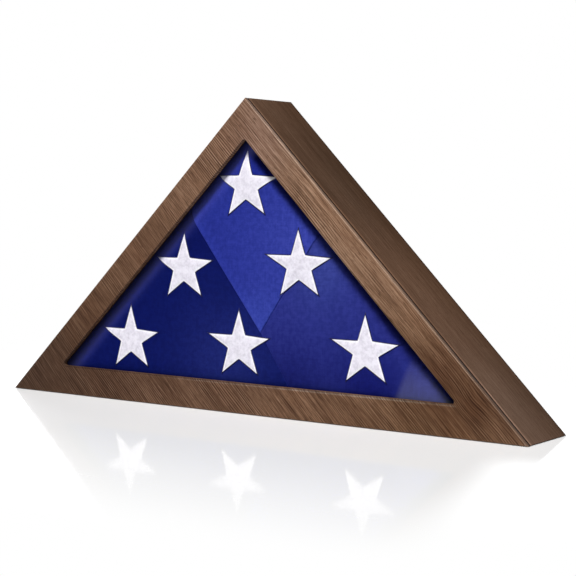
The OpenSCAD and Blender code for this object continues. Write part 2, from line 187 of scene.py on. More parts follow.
class Value:
    """A node's output that varies over a surface. Sums on it add Math nodes."""

    def __init__(self, look, socket):
        self.look = look
        self.socket = socket

    def out(self, name):
        """Another output of the same node."""
        return Value(self.look, self.socket.node.outputs[name])

    def math(self, operation, *terms, clamp=False):
        return self.look.node(
            "ShaderNodeMath",
            {"operation": operation, "use_clamp": clamp},
            dict(enumerate((self, *terms))),
        )

    __add__ = __radd__ = partialmethod(math, "ADD")
    __sub__ = partialmethod(math, "SUBTRACT")
    __mul__ = __rmul__ = partialmethod(math, "MULTIPLY")
    __truediv__ = partialmethod(math, "DIVIDE")
    __pow__ = partialmethod(math, "POWER")
    __abs__ = partialmethod(math, "ABSOLUTE")
    clamped = partialmethod(math, "ADD", 0, clamp=True)

    def __rsub__(self, other):
        return self * -1 + other

    def rising(self, low, high, bottom=0.0, top=1.0):
        """Smooth step from bottom, where the value is low, to top, where it is high."""
        return self.look.node(
            "ShaderNodeMapRange",
            {"interpolation_type": "SMOOTHSTEP"},
            {"Value": self, "From Min": low, "From Max": high, "To Min": bottom, "To Max": top},
        )

    def falling(self, low, high, top=1.0):
        """Smooth step from top, where the value is low, to 0, where it is high."""
        return self.rising(low, high, top, 0.0)

    def within(self, *steps):
        """1 between the inner two of four rising numbers, and 0 past the outer two."""
        return self.rising(*steps[:2]) * self.falling(*steps[2:])

    def bell(self, width):
        """1 at a squared distance of 0, falling softly to 0 past a width."""
        return (self * (-1 / width ** 2)).math("EXPONENT")


class Look:
    """Node tree of one finish."""

    def __init__(self, owner):
        owner.use_nodes = True
        self.tree = owner.node_tree
        self.tree.nodes.clear()

    def node(self, kind, settings=None, inputs=None, output=0):
        """Any node: its type, its settings, and values or links for its sockets."""
        made = self.tree.nodes.new(kind)
        for name, value in (settings or {}).items():
            if name == "stops":
                for _ in range(len(value) - 2):
                    made.color_ramp.elements.new(0.5)
                for element, (place, shade) in zip(made.color_ramp.elements, value):
                    element.position = place
                    element.color = (*shade[:3], 1)
            else:
                setattr(made, name, value)
        for name, value in (inputs or {}).items():
            socket = made.inputs[name]
            if isinstance(value, Value):
                self.tree.links.new(value.socket, socket)
            elif socket.type == "RGBA" and len(value) == 3:
                socket.default_value = (*value, 1)
            else:
                socket.default_value = value
        if made.outputs:
            return Value(self, made.outputs[output])
        return made

    def place(self):
        return self.node("ShaderNodeTexCoord", output="Object")

    def along(self, direction):
        """Distance of a point along a direction, in metres."""
        return self.node(
            "ShaderNodeVectorMath", {"operation": "DOT_PRODUCT"},
            {0: self.place(), 1: direction}, output="Value",
        )

    def vector(self, x, y, z=0.0):
        return self.node("ShaderNodeCombineXYZ", inputs={"X": x, "Y": y, "Z": z})

    def noise(self, vector, scale=1.0, detail=2.0, roughness=0.5, distortion=0.0):
        names = ("Vector", "Scale", "Detail", "Roughness", "Distortion")
        values = (vector, scale, detail, roughness, distortion)
        return self.node("ShaderNodeTexNoise", inputs=dict(zip(names, values)))

    def grain(self, x, y, z=0.0, **settings):
        """Noise over three values, finer along the one that grows faster."""
        return self.noise(self.vector(x, y, z), **settings)

    def part(self, vector, axis):
        return self.node("ShaderNodeSeparateXYZ", inputs={0: vector}, output=axis)

    def attribute(self, name):
        return self.node("ShaderNodeAttribute", {"attribute_name": name}, output="Fac")

    def sine(self, phase):
        """Wave from 0 to 1 over a phase in turns."""
        return (phase * (2 * math.pi)).math("SINE") * 0.5 + 0.5

    def mix(self, factor, first, second, blend="MIX"):
        """Colour between two colours."""
        return self.node(
            "ShaderNodeMix", {"data_type": "RGBA", "blend_type": blend, "clamp_factor": True},
            {0: factor, 6: first, 7: second}, output=2,
        )

    def ramp(self, value, stops):
        return self.node("ShaderNodeValToRGB", {"stops": stops}, {"Fac": value})

    def tinted(self, shade, *layers):
        """Colour multiplied in each layer by a tint, by an amount from 0 to 1."""
        for amount, tint in layers:
            shade = self.mix(amount, shade, self.mix(1.0, shade, tint, "MULTIPLY"))
        return shade

    def near(self, x, z, radius):
        """1 at a place in the face, falling softly to 0 past a radius round it."""
        from_x = self.along(LEVEL) - x
        from_z = self.along(UPRIGHT) - z
        return (from_x * from_x + from_z * from_z).bell(radius)

    def spotted(self, shade, spots):
        """Colour with soft round areas, each a place in the face, its radius and its tint."""
        return self.tinted(shade, *((self.near(*area), tint) for *area, tint in spots))

    def bump(self, height, distance, strength=1.0):
        return self.node(
            "ShaderNodeBump", inputs={"Height": height, "Distance": distance, "Strength": strength}
        )

    def principled(self, **sockets):
        names = {k.replace("_", " "): v for k, v in sockets.items()}
        return self.node("ShaderNodeBsdfPrincipled", inputs=names)

    def emission(self, shade=(1.0, 1.0, 1.0)):
        return self.node("ShaderNodeEmission", inputs={"Color": shade, "Strength": 1.0})

    def blended(self, factor, first, second):
        """Shader between two shaders."""
        return self.node("ShaderNodeMixShader", inputs={0: factor, 1: first, 2: second})

    def surface(self, shader):
        self.node("ShaderNodeOutputMaterial", inputs={"Surface": shader})

    def coat(self, shade, roughness, normal, shine=0.5, metallic=0.0):
        """Ends the tree with one shader over the whole surface."""
        self.surface(
            self.principled(
                Base_Color=shade, Roughness=roughness, Normal=normal,
                Specular_IOR_Level=shine, Metallic=metallic,
            )
        )


def finish(name, build):
    """Material of that name, made once by build(look)."""
    found = bpy.data.materials.get(name)
    if found is None:
        found = bpy.data.materials.new(name)
        build(Look(found))
    return found


def seen(look):
    """1 where the camera looks, straight or through a mirror or glass."""
    path = look.node("ShaderNodeLightPath", output="Is Camera Ray")
    return (path + path.out("Is Glossy Ray") + path.out("Is Transmission Ray")).clamped()


def veneer(look, along, across, depth, shades, scale=1.0, contrast=1.0, spots=(), swirl=None,
           shine=0.06):
    """Sliced veneer whose grain runs along one direction in the face.

    The spots take a tint, and the swirl pushes the grain aside round a place. The boards
    darken towards the rear. The front panel's arrises carry a painted highlight, strongest
    on the right slope, and so does the boards' arris just behind the seam. The window's
    arris carries painted shade, lighter and bluer towards the right, the side faces carry
    painted shade along the rear arris, and a painted highlight runs below the window. The
    seam behind the front panel is a dark joint, darkened further as painted shade of its
    groove.
    """
    dark, mid, light = shades
    u, v, w = look.along(along), look.along(across), look.along(depth)
    drift = look.grain(u * 7, v * 9, w * 9) - 0.5
    v = v + drift * (0.006 * scale)
    if swirl:
        *area, push = swirl
        v = v + look.near(*area) * push
    broad = look.grain(u * 2.2, v * (16 / scale), w * 12, detail=1.0)
    band = look.grain(u * 8, v * (90 / scale), w * 40)
    streak = look.grain(u * 15, v * (800 / scale), w * 200, roughness=0.6)
    fine = look.grain(u * 70, v * (1500 / scale), w * 500)
    comb = look.sine(v * (430 / scale) + look.grain(u * 5, v * 25, w) * 4)
    combed = look.grain(u * 9, v * 20, w * 9, detail=1.0).rising(0.4, 0.65)
    value = (comb - 0.6) * combed * (0.45 * contrast) + 0.5
    for layer, amount in ((broad, 0.4), (band, 0.3), (streak, 1.25), (fine, 0.8)):
        value = value + (layer - 0.5) * (amount * contrast)
    shade = look.ramp(value, [(0.1, dark), (0.5, mid), (0.9, light)])
    warm = look.grain(u * 5, v * 30, w * 8, detail=1.0)
    shade = look.tinted(shade, (warm.rising(0.45, 0.75) * 0.2, (1.0, 0.8, 0.66)))
    shade = look.spotted(shade, spots)
    pores = look.grain(u * 110, v * 1100, w * 900, detail=1.0).rising(0.58, 0.7)
    shade = look.mix(pores * (0.55 * contrast), shade, dark)

    x, y, z = look.along(LEVEL), look.along(DEEP), look.along(UPRIGHT)
    reach = abs(x) + z
    # The front panel's arrises: painted highlight above 0, painted shade below 0
    rubbed = look.attribute("rubbed")
    arris_highlight = rubbed.clamped() * band.rising(0.3, 0.5, 0.5, 0.9)
    shade = look.mix(arris_highlight, shade, tone(192, 170, 152))
    arris_shade = (rubbed * -1).clamped()
    # Painted highlight: a pale bluish line just below the window, stronger to the right
    sill = (z - WINDOW_BASE).within(-3 * MM, -1.6 * MM, -0.9 * MM, -0.5 * MM)
    sill = sill * x.rising(-0.2, 0.1) * (y - PANEL_LOW.y).falling(0.1 * MM, 0.3 * MM)
    sill = sill * (reach - WINDOW_SLOPE).falling(-2 * MM, 2 * MM)
    behind = y - SEAM_Y
    strip = (reach - PANEL_HIGH.z).rising(-0.6 * MM, -0.3 * MM) * behind.falling(-1 * MM, 0)
    # painted highlight on the board's arris just behind the seam
    lip = behind.within(1 * MM, 1.6 * MM, 3 * MM, 5 * MM) * band.rising(0.3, 0.6, 0.4, 1.0)
    # the seam is a dark joint, darkened further as painted shade of its groove
    seam = abs(behind).falling(0.9 * MM, 1.5 * MM)
    # painted shade on the side faces along the rear arris
    rear = (y - REAR_FACE).within(-4.6 * MM, -3 * MM, -0.3 * MM, -0.1 * MM)
    shade = look.tinted(
        shade,
        # painted shade on the window's arris
        (arris_shade, (0.1, 0.1, 0.18)),
        # the same painted shade, lighter and bluer towards the right
        (arris_shade * x.rising(0.02, 0.16), (2.4, 3.2, 3.2)),
        (sill, (1.5, 1.9, 2.4)),
        (y.rising(-20 * MM, REAR_FACE), (0.79, 0.75, 0.7)),
        (strip, (0.62, 0.6, 0.58)),
        (lip, (2.0, 2.0, 2.0)),
        (seam, (0.14, 0.12, 0.1)),
        (rear, (0.45, 0.42, 0.4)),
    )
    height = streak * 0.4 + fine * 0.4 - pores * 0.5
    look.coat(shade, fine * 0.16 + 0.42, look.bump(height, 0.1 * MM, 0.4), shine)


def raw_wood(look, along, across, depth, shades):
    """Unfinished solid wood with rings and fine fibres."""
    early, late = shades
    u, v, w = look.along(along), look.along(across), look.along(depth)
    warp = look.grain(u * 6, v * 14, w * 14)
    rings = look.sine((v + warp * 0.006) * 190)
    fibre = look.grain(u * 40, v * 1400, w * 1400, detail=3.0)
    shade = look.mix((rings ** 2.5) * 0.7, early, late)
    shade = look.mix(fibre.rising(0.35, 0.8) * 0.35, shade, late)
    look.coat(shade, fibre * 0.15 + 0.62, look.bump(fibre, 0.1 * MM, 0.5), 0.3)


def pressed_board(look):
    """Hardboard stained dark: matted fibres, with raw cut edges."""
    p = look.place()
    mottle = look.noise(p, 45, detail=3.0)
    fibre = look.noise(p, 900, detail=3.0, roughness=0.7, distortion=1.5)
    fleck = look.noise(p, 2600, detail=1.0)
    shade = look.ramp(
        mottle * 0.35 + fibre * 0.65,
        [(0.3, tone(52, 38, 29)), (0.52, tone(74, 55, 42)), (0.75, tone(98, 76, 59))],
    )
    shade = look.mix(fleck.rising(0.62, 0.7) * 0.4, shade, tone(36, 25, 19))
    facing = abs(look.part(look.node("ShaderNodeTexCoord", output="Normal"), "Y"))
    shade = look.mix(facing.rising(0.5, 0.9), look.mix(0.6, shade, tone(128, 98, 72)), shade)
    look.coat(shade, fibre * 0.2 + 0.45, look.bump(fibre, 0.08 * MM, 0.6), 0.35)


def cotton(look, shade, spots=(), fold=None):
    """Plain-woven blue cotton, with painted shade where the flag turns away by the right board.

    The spots paint sheen where they lighten and shade where they darken, the pressed fold
    is painted sheen along it, and the cloth is darker above the tuck in the tip.
    """
    x, y, z = look.along(LEVEL), look.along(DEEP), look.along(UPRIGHT)
    # painted sheen and shade in the spots
    shade = look.spotted(shade, spots)
    if fold:
        # painted sheen along the fold
        point, way, width, tint = fold
        tuck = (z - TUCK_LEVEL).rising(-1 * MM, 1 * MM, 0.0, 0.7)
        shade = look.tinted(
            shade, (left_of(point, way, x, z).falling(0.0, width), tint), (tuck, (0.55, 0.6, 0.8))
        )
    cloud = look.grain(x * 16, y * 16, z * 16)
    mottle = look.grain(x * 190, y * 190, z * 190, detail=3.0, roughness=0.65)
    weft = look.grain(x * 60, y * 300, z * 800)
    warp = look.grain(x * 800, y * 300, z * 60)
    slub = weft + warp - 1
    threads = look.sine(x * 1900) * look.sine(z * 1900)
    shade = look.tinted(
        shade,
        # painted shade beside the right board
        (from_slope(1, x, z).falling(20 * MM, 31 * MM, 0.9), (0.12, 0.12, 0.2)),
        (cloud.rising(0.3, 0.75) * 0.28, (0.72, 0.74, 0.8)),
        (mottle.rising(0.35, 0.65), (0.74, 0.76, 0.84)),
        ((slub * 2.2 + 0.5).clamped() * 0.3, (1.6, 1.6, 1.4)),
        (threads * 0.15, (0.7, 0.7, 0.7)),
    )
    look.coat(shade, slub * 0.2 + 0.85, look.bump(threads * 0.4 + slub, 0.05 * MM, 0.4), 0.02)


def satin_stitch(look, thread, hem):
    """White satin stitch, laid across each arm of a star, in a hem of painted shadow."""
    uv = look.node("ShaderNodeUVMap", {"uv_map": "stitch"})
    u, v = look.part(uv, "X"), look.part(uv, "Y")
    rows = look.sine(u * 1300 + look.grain(u * 90, v * 300, detail=1.0) * 1.2)
    tuft = look.noise(look.place(), 420)
    cloud = look.noise(look.place(), 170, detail=3.0, roughness=0.6)
    shade = look.ramp(
        cloud * 0.5 + tuft * 0.5, [(0.34, tuple(c * 0.82 for c in thread)), (0.56, thread)]
    )
    shade = look.mix((1 - rows) * 0.12, shade, tone(196, 190, 206))
    rim = look.attribute("rim")
    # The star is greyer away from its outline, in clouds
    greyer_inside = rim.rising(hem + 0.6 * MM, hem + 3 * MM) * cloud.rising(0.35, 0.65, 0.95, 0.6)
    shade = look.tinted(shade, (greyer_inside, (0.85, 0.83, 0.87)))
    # painted shadow in the hem round the star
    shade = look.mix(rim.falling(hem - 0.2 * MM, hem + 0.2 * MM), shade, tone(12, 14, 62))
    height = rows * (0.08 * MM) + tuft * (0.12 * MM) - abs(v) * 0.03
    look.coat(shade, tuft * 0.2 + 0.5, look.bump(height, 1.0), 0.2)


def felt(look):
    """Black felt with a fuzzy nap."""
    p = look.place()
    nap = look.noise(p, 1500, detail=3.0, roughness=0.7)
    cloud = look.noise(p, 40, detail=3.0)
    shade = look.ramp(nap * 0.6 + cloud * 0.4, [(0.35, tone(14, 14, 16)), (0.65, tone(48, 47, 50))])
    look.coat(shade, nap * 0.1 + 0.88, look.bump(nap, 0.3 * MM, 0.8), 0.1)


def brushed_metal(look, shade, tarnish, roughness, along):
    """Metal drawn or brushed along one direction, with some tarnish."""
    p = look.place()
    lines = look.node(
        "ShaderNodeVectorMath", {"operation": "MULTIPLY"},
        {0: p, 1: tuple(60 if abs(a) > 0.5 else 2600 for a in along)},
    )
    lines = look.noise(lines)
    spots = look.noise(p, 240, detail=3.0, roughness=0.65)
    shade = look.mix(spots.rising(0.45, 0.75) * 0.4, shade, tarnish)
    roughness = lines * 0.18 + spots * 0.15 + roughness
    look.coat(shade, roughness, look.bump(lines, 0.03 * MM, 0.2), metallic=1.0)


# Shade, tarnish, roughness and the way of the brushing
METALS = {
    "zinc steel": (tone(150, 153, 158), tone(104, 106, 110), 0.34, DEEP),
    "nickel": (tone(172, 171, 170), tone(128, 127, 126), 0.2, DEEP),
    "hinge brass": (tone(206, 170, 94), tone(150, 112, 58), 0.26, LEVEL),
    "dull brass": (tone(168, 132, 70), tone(104, 78, 42), 0.4, DEEP),
}


def metal(name):
    return finish(name, lambda look: brushed_metal(look, *METALS[name]))


def rubber(look):
    """Black rubber with a fine grain."""
    grain = look.noise(look.place(), 1800)
    shade = look.ramp(grain, [(0.3, tone(20, 20, 21)), (0.7, tone(38, 38, 40))])
    look.coat(shade, grain * 0.2 + 0.6, look.bump(grain, 0.08 * MM, 0.6), 0.3)


# Painted reflections that glow on the pane: the left edge of one corner's gleam, as a point
# in the face and the way down along it, and a bluish band beside the left rail that paints
# light on the cloth, as its distance from the board and half width
GLEAM_EDGE = ((176 * MM, 29 * MM), (-0.37, -0.93))
GLOW_BAND = (27 * MM, 6 * MM)


def clear_glass(look):
    """Picture glass, a faint mirror, with painted reflections and painted light in places."""
    x, z = look.along(LEVEL), look.along(UPRIGHT)
    corner = left_of(*GLEAM_EDGE, x, z).rising(0, 9 * MM) * z.falling(40 * MM, 84 * MM)
    corner = corner * from_slope(1, x, z).rising(17 * MM, 30 * MM)
    middle, half = GLOW_BAND
    from_band = from_slope(-1, x, z) - middle
    band = (from_band * from_band).bell(half)
    edge = from_band.falling(-3 * MM, 5 * MM, 0.006)
    # painted reflection and painted light, glowing only where the camera looks
    painted_glow = (corner * 0.042 + band * 0.055 + edge) * seen(look)
    shade = look.mix((corner * 4).clamped(), (0.27, 0.29, 1.0), (1.0, 1.0, 1.0))
    front = 1 - look.node("ShaderNodeNewGeometry", output="Backfacing")
    faint = look.node("ShaderNodeFresnel", inputs={"IOR": 1.5})
    smear = look.noise(look.place(), 30)
    glass = look.principled(
        Base_Color=(1.0, 1.0, 1.0), Metallic=1.0, Roughness=smear * 0.02 + 0.01,
        Alpha=faint.rising(0.08, 1.0, 0.0, 0.6) * front,
    )
    look.surface(look.blended(painted_glow * front, glass, look.emission(shade)))


# ---- Meshes ----


SAME_PLACE = 1e-6
SAME_PLANE = math.radians(0.5)


def copy_of(node):
    """A CAD node's mesh with its triangles merged into whole faces."""
    bm = bmesh.new()
    bm.from_mesh(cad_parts[node].data)
    bmesh.ops.remove_doubles(bm, verts=bm.verts, dist=SAME_PLACE)
    bmesh.ops.dissolve_limit(
        bm, angle_limit=SAME_PLANE, verts=bm.verts, edges=bm.edges,
        use_dissolve_boundaries=False,
    )
    return bm


def ease(bm, width, segments=2, least=25, where=None, edge_shading_at=None):
    """Rounds the arrises that turn by more than least degrees.

    The new faces are marked as eased. The last argument, called with a new face's middle,
    gives the face's painted highlight, or below 0 its painted shade.
    """
    eased = bm.faces.layers.int.get("eased") or bm.faces.layers.int.new("eased")
    rubbed = bm.faces.layers.float.get("rubbed") or bm.faces.layers.float.new("rubbed")
    edges = [
        e for e in bm.edges
        if len(e.link_faces) == 2
        and e.calc_face_angle(0) > math.radians(least)
        and (where is None or where(e))
    ]
    made = bmesh.ops.bevel(
        bm, geom=edges, offset=width, offset_type="OFFSET", segments=segments, profile=0.5,
        affect="EDGES", clamp_overlap=True, material=-1,
    )
    for face in made["faces"]:
        face[eased] = 1
        face[rubbed] = edge_shading_at(face.calc_center_median()) if edge_shading_at else 0.0


def crease_edges(bm, angle):
    """Makes sharp the edges that turn by more than angle, and the rims of eased arrises."""
    eased = bm.faces.layers.int.get("eased")
    for face in bm.faces:
        face.smooth = True
    for edge in bm.edges:
        sides = edge.link_faces
        edge.smooth = (
            len(sides) == 2
            and edge.calc_face_angle(0) < math.radians(angle)
            and (eased is None or sides[0][eased] == sides[1][eased])
        )


def linked(name, data):
    """Object of a mesh, a lamp or a camera, in the scene."""
    obj = bpy.data.objects.new(name, data)
    bpy.context.scene.collection.objects.link(obj)
    return obj


def object_of(name, bm):
    """Object whose mesh is made from a bmesh. Takes the bmesh."""
    mesh = bpy.data.meshes.new(name)
    bm.to_mesh(mesh)
    bm.free()
    return linked(name, mesh)


def piece(name, bm, body, material, stands_for=(), crease=50):
    """Makes a mesh a piece that rides on a body."""
    crease_edges(bm, crease)
    obj = object_of(name, bm)
    obj.data.materials.append(material)
    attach(obj, body)
    if stands_for:
        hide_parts(*stands_for)
    return obj


def eased_node(node, body, material, easing, segments=2, least=25):
    """Makes a piece that stands for a CAD node, with its arrises rounded."""
    bm = copy_of(node)
    ease(bm, easing, segments, least)
    piece(node + "_eased", bm, body, material, [node])


def dress(material, *nodes):
    """Gives CAD nodes that are shown as they are their finish."""
    for node in nodes:
        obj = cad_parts[node]
        if not obj.material_slots:
            obj.data.materials.append(material)
        for slot in obj.material_slots:
            slot.material = material


def modified(obj):
    """bmesh of an object with its modifiers applied. Takes the object."""
    bm = bmesh.new()
    bm.from_object(obj, bpy.context.evaluated_depsgraph_get())
    mesh = obj.data
    bpy.data.objects.remove(obj)
    bpy.data.meshes.remove(mesh)
    return bm


def soft_least(values, spread):
    """Smallest of some lengths, with its creases rounded."""
    return -spread * math.log(sum(math.exp(-v / spread) for v in values))


def inset_at(x, z):
    """How far a point in the face lies inside the three boards.

    It counts faster from the base board, on which the flag's weight squares its shoulder.
    """
    from_base = (z - INNER_BASE) * 1.8
    return soft_least((from_base, from_slope(1, x, z), from_slope(-1, x, z)), 6 * MM)


SHOULDER = 34 * MM
HALF_DEPTH = (FLAG_HIGH.y - FLAG_LOW.y) / 2


def fall_at(x, z):
    """How far the rounded shoulder has dropped behind the flag's crown at a point."""
    t = min(1.0, max(0.0, (SHOULDER - inset_at(x, z)) / SHOULDER))
    return HALF_DEPTH * (1 - math.sqrt(max(0.0, 1 - t * t)))


# ---- Operators ----


class PieceOperator:
    """What the operators share."""

    bl_options = {"REGISTER", "UNDO"}


def board_shades(context):
    wood = context.scene.flag_case_wood
    return wood.side_dark, wood.side_mid, wood.side_light


# Soft areas of the front veneer: place in the face, radius and tint
FRONT_SPOTS = (
    (-0.30, 0.02, 0.13, (0.37, 0.36, 0.37)),
    (-0.12, 0.0, 0.10, (0.76, 0.74, 0.76)),
    (-0.14, 0.162, 0.042, (0.68, 0.64, 0.62)),
    (-0.09, 0.23, 0.09, (1.10, 1.13, 1.18)),
    (0.12, 0.21, 0.12, (1.42, 1.54, 1.64)),
    (0.02, 0.29, 0.05, (1.10, 1.14, 1.30)),
    (0.230, 0.057, 0.026, (0.66, 0.58, 0.56)),
    (-0.01, 0.022, 0.05, (0.76, 0.75, 0.76)),
    (0.22, 0.02, 0.09, (0.70, 0.66, 0.58)),
    (0.270, 0.032, 0.024, (0.62, 0.54, 0.48)),
)
# Where the front's grain is pushed aside: place in the face, radius and push
FRONT_SWIRL = (262 * MM, 34 * MM, 14 * MM, 2 * MM)
# Soft areas of the boards' veneer
BOARD_SPOTS = (
    (0.075, 0.25, 0.11, (0.66, 0.70, 0.72)),
    (0.30, 0.02, 0.10, (1.0, 1.1, 1.22)),
)
TIP_EASING = 1.2 * MM  # of the case's outermost edges
BOARD_EASING = 0.3 * MM  # of the boards' other arrises


def in_front_half(edge):
    """Whether an edge lies in the front half of the panel."""
    return max(v.co.y for v in edge.verts) < (PANEL_LOW.y + PANEL_HIGH.y) / 2


def edge_shading_of_front(middle):
    """Painted highlight, most on the right slope's arris; painted shade in the window."""
    if middle.x + middle.z > PANEL_HIGH.z - 2 * MM:
        return 0.55
    inside = abs(middle.x) + middle.z < WINDOW_SLOPE + 10 * MM
    return -0.9 if inside and middle.z > INNER_BASE else 0.1


class FLAGCASE_OT_front_panel(PieceOperator, bpy.types.Operator):
    """Front panel with its triangular window, in one sheet of veneer"""

    bl_idname = "flagcase.front_panel"
    bl_label = "Front panel"

    def execute(self, context):
        wood = context.scene.flag_case_wood
        shades = (wood.veneer_dark, wood.veneer_mid, wood.veneer_light)
        material = finish(
            "front veneer",
            lambda look: veneer(
                look, DOWN_RIGHT, UP_RIGHT, DEEP, shades, spots=FRONT_SPOTS, swirl=FRONT_SWIRL
            ),
        )
        bm = copy_of("front_frame")
        ease(bm, wood.easing, where=in_front_half, edge_shading_at=edge_shading_of_front)
        piece("front_frame_eased", bm, "case", material, ["front_frame"])
        return {"FINISHED"}


def at_tip(edge):
    """Whether an edge is one of the case's outermost, at a lower corner."""
    return min(abs(v.co.x) for v in edge.verts) > PANEL_HIGH.x - 1 * MM


def on_rear_chamfer(edge):
    """Whether an edge runs along the 2 mm chamfer of the case's outer rear arris."""
    return edge.calc_face_angle(0) < math.radians(50) and all(
        v.co.y > REAR_FACE - 2.5 * MM
        and (abs(v.co.x) + v.co.z > PANEL_HIGH.z - 3 * MM or v.co.z < 2.1 * MM)
        for v in edge.verts
    )


class FLAGCASE_OT_boards(PieceOperator, bpy.types.Operator):
    """Base and sloping boards, veneered along their length"""

    bl_idname = "flagcase.boards"
    bl_label = "Boards"

    def execute(self, context):
        for side, along, depth in SIDES:
            material = finish(
                side + " board veneer",
                lambda look: veneer(
                    look, along, DEEP, depth, board_shades(context), 0.8, 0.6, BOARD_SPOTS,
                    shine=0.0,
                ),
            )
            node = side + "_board"
            bm = copy_of(node)
            ease(bm, TIP_EASING, least=100, where=at_tip)
            ease(bm, context.scene.flag_case_wood.rear_easing, 3, 40, on_rear_chamfer)
            ease(bm, BOARD_EASING, least=50)
            piece(node + "_eased", bm, "case", material, [node])
        return {"FINISHED"}


class FLAGCASE_OT_glazing(PieceOperator, bpy.types.Operator):
    """Pane, glazing beads and their pins"""

    bl_idname = "flagcase.glazing"
    bl_label = "Glazing"

    def execute(self, context):
        glass = finish("clear glass", clear_glass)
        eased_node("glass_pane", "case", glass, easing=0.2 * MM)
        for side, along, across in SIDES:
            material = finish(
                side + " glazing bead wood",
                lambda look: veneer(look, along, across, DEEP, board_shades(context), 0.7, 0.5),
            )
            eased_node(side + "_glazing_bead", "case", material, easing=0.25 * MM)
        dress(metal("zinc steel"), "bead_pins", "corner_brads")
        return {"FINISHED"}


VOXEL = 5 * MM
START_DEPTH = 0.9  # share of its depth that the bundle is filled from
MOST_SWELL = 6 * MM  # furthest that the filling may move a point
BUNDLE_FRONT = PANE_BACK + 3.4 * MM  # under the front folds
BUNDLE_BACK = FLAG_HIGH.y - 3 * MM  # under the back folds
BUNDLE_PLAY = 1.2 * MM  # from the bundle to the boards
BUNDLE_HALF = 0.3  # half its width
BUNDLE_MIDDLE = 0.1  # height below which it is pushed up from the base


def filled(bm, flag):
    """bm after a cloth simulation with pressure, with each point's way capped."""
    obj = object_of("work", bm)
    rest = [v.co.copy() for v in obj.data.vertices]
    cloth = obj.modifiers.new("Cloth", "CLOTH")
    cloth.settings.use_pressure = True
    cloth.settings.uniform_pressure_force = flag.pressure
    cloth.settings.effector_weights.gravity = 0
    cloth.settings.quality = 5
    cloth.point_cache.frame_start = 1
    cloth.point_cache.frame_end = flag.frames
    for i in range(1, flag.frames + 1):
        bpy.context.scene.frame_set(i)
    result = modified(obj)
    bpy.context.scene.frame_set(1)
    for v, start in zip(result.verts, rest):
        way = v.co - start
        if way.length > MOST_SWELL:
            v.co = start + way * (MOST_SWELL / way.length)
    return result


class FLAGCASE_OT_bundle(PieceOperator, bpy.types.Operator):
    """Body of the folded flag, filled by pressure between the pane and the door"""

    bl_idname = "flagcase.bundle"
    bl_label = "Flag bundle"

    def execute(self, context):
        flag = context.scene.flag_case_flag
        work = object_of("work", copy_of("folded_flag"))
        remesh = work.modifiers.new("Remesh", "REMESH")
        remesh.mode = "VOXEL"
        remesh.voxel_size = VOXEL
        bm = modified(work)
        centre_y = (FLAG_LOW.y + FLAG_HIGH.y) / 2
        for v in bm.verts:
            v.co.y = centre_y + (v.co.y - centre_y) * START_DEPTH
        bm = filled(bm, flag)
        bmesh.ops.smooth_vert(
            bm, verts=bm.verts, factor=0.5, use_axis_x=True, use_axis_y=True, use_axis_z=True
        )
        for v in bm.verts:
            x, z = v.co.x, v.co.z
            drop = fall_at(x, z)
            if v.co.y < centre_y:
                v.co.y = max(v.co.y, min(BUNDLE_FRONT + drop, centre_y))
            else:
                v.co.y = min(v.co.y, max(BUNDLE_BACK - drop, centre_y))
            over = BUNDLE_PLAY - min(from_slope(1, x, z), from_slope(-1, x, z), z - INNER_BASE)
            if over > 0:
                v.co.x *= 1 - over / BUNDLE_HALF
                v.co.z -= over if z > BUNDLE_MIDDLE else -over
        bmesh.ops.recalc_face_normals(bm, faces=bm.faces)
        material = finish("bundle cotton", lambda look: cotton(look, flag.right_cloth))
        obj = piece("flag_bundle", bm, "case", material, ["folded_flag"], 180)
        smooth = obj.modifiers.new("Smooth", "SUBSURF")
        smooth.levels = smooth.render_levels = 1
        return {"FINISHED"}


# The outer folds, in the face: a point on each fold line and the way it runs
FLAP_TIP = (16.5 * MM, 84.5 * MM)
LEFT_FOLD = (-0.615, 0.788)
RIGHT_FOLD = (0.56, 0.829)
LOWER_FOLD = (0.555, -0.832)
# Painted sheen and reflection where a tint is above 1, and painted shade where it is below
# 1, on the outer folds: place in the face, radius and tint
FLAP_SPOTS = (
    (0.075, 0.18, 0.07, (1.9, 1.7, 1.3)),
    (0.017, 0.10, 0.03, (1.5, 1.5, 1.2)),
)
LEFT_FOLD_SPOTS = (
    (-0.025, 0.05, 0.065, (3.2, 2.4, 1.45)),
)
RIGHT_FOLD_SPOTS = (
    (0.05, 0.03, 0.055, (0.36, 0.38, 0.55)),
    (0.15, 0.035, 0.05, (0.30, 0.32, 0.58)),
    (0.09, 0.155, 0.035, (1.5, 1.6, 1.2)),
)
TUCK_LEVEL = 246 * MM
BACK_TUCK = ((-20 * MM, 15 * MM), (0.72, 0.69))
# Depth at which each sheet lies at the middle of the flag
FLAP_Y = PANE_BACK + 1.5 * MM
LEFT_FOLD_Y = FLAP_Y + 0.9 * MM
RIGHT_FOLD_Y = FLAP_Y + 1.3 * MM
BACK_Y = FLAG_HIGH.y - 1.6 * MM
BACK_TUCK_Y = FLAG_HIGH.y - 0.3 * MM
LEFT_FOLD_ROLL = 0.4 * MM
UNDER_LEFT_FOLD = 12 * MM  # how far the right fold runs on under the left one
UNDER_FLAP = 14 * MM  # and under the flap
SHEET_STEP = 2.5 * MM  # grid of a sheet
SHEET_THICKNESS = 0.5 * MM
SHEET_PLAY = 2.2 * MM  # from a sheet to the boards
ROLL_STEPS = (0.12, 0.35, 0.65, 1, 1.8, 3)  # rows along a folded edge, in widths of its roll


def face_sheet(step):
    """Even grid over the whole flag, in the face, seen from the front."""
    width = INNER_SLOPE - INNER_BASE
    turn = Matrix.Rotation(math.radians(90), 4, "X")
    bm = bmesh.new()
    bmesh.ops.create_grid(
        bm, x_segments=round(2 * width / step), y_segments=round(width / step), size=1,
        matrix=Matrix.Translation((0, 0, INNER_BASE + width / 2))
        @ Matrix.Diagonal((width, 1, width / 2, 1)) @ turn,
    )
    return bm


